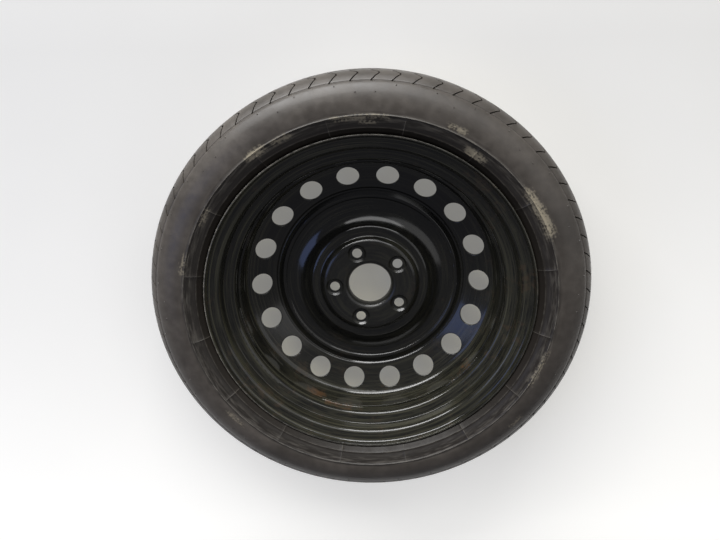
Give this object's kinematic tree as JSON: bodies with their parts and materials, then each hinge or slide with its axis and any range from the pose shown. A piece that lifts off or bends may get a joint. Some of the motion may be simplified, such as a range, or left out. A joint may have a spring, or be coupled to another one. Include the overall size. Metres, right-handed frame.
{
  "type": "space saver spare wheel",
  "caption": "Narrow temporary spare wheel: pressed steel disc with round vents welded in a drop-centre rim, with its tyre and snap-in valve.",
  "frame": {"origin": "centre of the bolt circle on the face that bolts to the hub", "axes": "+Z along the wheel's axis, inboard towards the car; the wheel lies flat on its outboard side"},
  "size_m": [0.631, 0.631, 0.151],
  "materials": {
    "tyre_rubber": "matt moulded rubber",
    "black_paint": "gloss black dip paint",
    "painted_weld": "black paint over weld, rusting",
    "valve_rubber": "smooth moulded rubber",
    "valve_brass": "turned",
    "seal_plastic": "turned",
    "spring_steel": "drawn wire",
    "cap_plastic": "moulded"
  },
  "bodies": {
    "wheel": {"tyre": "tyre_rubber", "rim": "black_paint", "wheel_disc": "black_paint", "disc_welds": "painted_weld", "valve_body": "valve_rubber", "valve_stem": "valve_brass", "valve_core_plug": "valve_brass", "valve_core_seal": "seal_plastic", "valve_core_spring": "spring_steel"},
    "core_pin": {"valve_core_pin": "valve_brass", "valve_core_cup": "valve_brass"},
    "cap_seal": {"valve_cap_seal": "valve_rubber"},
    "cap": {"valve_cap": "cap_plastic"}
  },
  "joints": [
    {"name": "core_pin_press", "type": "slide", "parent": "wheel", "child": "core_pin", "axis": [0.6961, 0.1227, 0.7074], "range_m": [0, 0.0015], "stiffness_N_per_m": 500, "springref_m": -0.002, "deforming": ["valve_core_spring"]},
    {"name": "cap_lift", "type": "slide", "parent": "wheel", "child": "cap_seal", "axis": [-0.6961, -0.1227, -0.7074], "range_m": [0, 0.00397]},
    {"name": "cap_turn", "type": "hinge", "parent": "cap_seal", "child": "cap", "pos_m": [0.20514, 0.03617, -0.0072], "axis": [-0.6961, -0.1227, -0.7074], "range_deg": [0, 1800]}
  ],
  "couplings": [
    {"joint": "cap_turn", "follows": "cap_lift", "rad_per_m": 7913.3}
  ]
}
